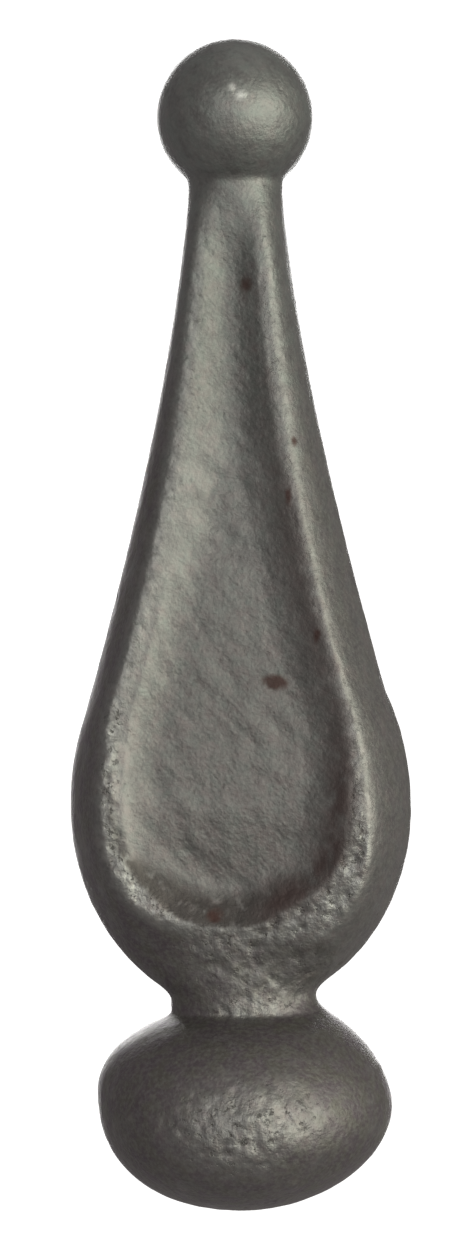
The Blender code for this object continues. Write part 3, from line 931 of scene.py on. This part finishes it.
bend = np.concatenate([[0.0], np.linspace(0.0, math.pi / 2.0, SWEEP_RINGS)])
radius = FLOOR_FLAT + FLOOR_SWEEP * np.sin(bend)
radius[0] = FLOOR_INNER
rise = FLOOR_LEVEL + FLOOR_SWEEP * (1.0 - np.cos(bend))
around = np.linspace(0.0, 2.0 * math.pi, FLOOR_COLUMNS + 1)[:-1]
dish = np.stack([
    np.outer(radius, np.cos(around)),
    np.outer(radius, np.sin(around)),
    np.outer(rise, np.ones_like(around)),
], axis=-1)
spot = np.arange(dish[..., 0].size).reshape(dish.shape[:2])
next_spot = np.roll(spot, -1, axis=1)
dish_quads = np.stack([spot[:-1], spot[1:], next_spot[1:], next_spot[:-1]], axis=-1).reshape(-1, 4)
floor_mesh = bpy.data.meshes.new("pale_floor")
floor_mesh.from_pydata(dish.reshape(-1, 3), [], dish_quads.tolist() + [spot[0].tolist()])
floor_mesh.shade_smooth()
floor = bpy.data.objects.new("pale_floor", floor_mesh)
bpy.context.scene.collection.objects.link(floor)
floor.visible_glossy = False
floor.visible_diffuse = False
paper = Finish("pale_paper")
paper.feed(paper.shader.inputs["Base Color"], (FLOOR_GREY, FLOOR_GREY, FLOOR_GREY, 1.0))
paper.feed(paper.shader.inputs["Roughness"], 1.0)
paper.feed(paper.shader.inputs["Emission Color"], (1.0, 1.0, 1.0, 1.0))
paper.feed(paper.shader.inputs["Emission Strength"], FLOOR_GLOW)
floor_mesh.materials.append(paper.material)
print("floor", round(2.0 * float(radius[-1]), 1), "m across")

# %% [markdown]
# ## Soft light
# The glow on the ball tells where the light is. Its middle is turned about 22 degrees to
# the right of the camera, so the light that it mirrors stands twice as far round, and the
# glow is far wider than the iron's own blur, so that light is broad. A weaker lamp near
# the camera and one overhead lift the rest, and the left side sees mostly a grey room. A
# last lamp behind the casting is for the views from there. Lights are given by their
# direction from the object.

# %% The lights
VIEW_AZIMUTH = 7.5
ROOM_GREY = (0.490, 0.465, 0.474)
LIGHT_DISTANCE = 1.9
WARM = (0.985, 1.0, 0.880)
NEUTRAL = (1.0, 1.0, 1.0)
TARGET = Vector((0.0, 0.0, 75.0 * MM))


def direction(azimuth, elevation):
    """Unit vector from the object out to that azimuth and elevation, in degrees."""
    sideways = math.radians(azimuth)
    upwards = math.radians(elevation)
    level_part = Vector((math.sin(sideways), -math.cos(sideways), 0.0)) * math.cos(upwards)
    return level_part + Vector((0.0, 0.0, math.sin(upwards)))


def softbox(name, azimuth, elevation, width, height, power, colour):
    """A flat lamp that faces the object and that the camera doesn't see."""
    lamp = bpy.data.lights.new(name, "AREA")
    lamp.shape = "RECTANGLE"
    lamp.size = width
    lamp.size_y = height
    lamp.energy = power
    lamp.color = colour
    holder = bpy.data.objects.new(name, lamp)
    holder.location = TARGET + LIGHT_DISTANCE * direction(VIEW_AZIMUTH + azimuth, elevation)
    holder.rotation_euler = (TARGET - holder.location).to_track_quat("-Z", "Y").to_euler()
    holder.visible_camera = False
    bpy.context.scene.collection.objects.link(holder)


softbox("window", azimuth=45.0, elevation=5.0, width=2.0, height=1.6, power=74.0, colour=WARM)
softbox("front_glow", azimuth=-8.0, elevation=10.0, width=1.3, height=0.9, power=15.5, colour=NEUTRAL)
softbox("ceiling", azimuth=60.0, elevation=80.0, width=1.4, height=1.4, power=5.0, colour=NEUTRAL)
softbox("back_window", azimuth=180.0, elevation=8.0, width=1.3, height=1.3, power=60.0, colour=NEUTRAL)
world = bpy.data.worlds.new("grey_room")
world.use_nodes = True
world.node_tree.nodes["Background"].inputs["Color"].default_value = (*ROOM_GREY, 1.0)
bpy.context.scene.world = world
bpy.context.scene.view_settings.view_transform = "Standard"
print(len(bpy.data.lights), "lamps")

# %% [markdown]
# ## The camera
# The crests stand further left in the photograph than a straight front view would put
# them, and the right flank shows more than the left. So the camera stands a little to
# the right of the front, level with the middle of the casting. A long lens far away
# would flatten it; this one stands half a metre off.

# %% The camera
LENS_MM = 120.0
SENSOR_MM = 36.0
CAMERA_DISTANCE = 0.5318
CAMERA_LEVEL = 75.3 * MM
CAMERA_SHIFT = -0.78 * MM
CAMERA_ROLL = math.radians(-0.43)

camera_data = bpy.data.cameras.new("camera")
camera_data.lens = LENS_MM
camera_data.sensor_width = SENSOR_MM
camera = bpy.data.objects.new("camera", camera_data)
back = direction(VIEW_AZIMUTH, 0.0)
up = Vector((0.0, 0.0, 1.0))
right = up.cross(back)
place = right * CAMERA_SHIFT + up * CAMERA_LEVEL + back * CAMERA_DISTANCE
axes = Matrix((right, up, back)).transposed().to_4x4()
camera.matrix_world = Matrix.Translation(place) @ axes @ Matrix.Rotation(CAMERA_ROLL, 4, "Z")
bpy.context.scene.collection.objects.link(camera)
bpy.context.scene.camera = camera
print("camera at", [round(float(value), 3) for value in place])
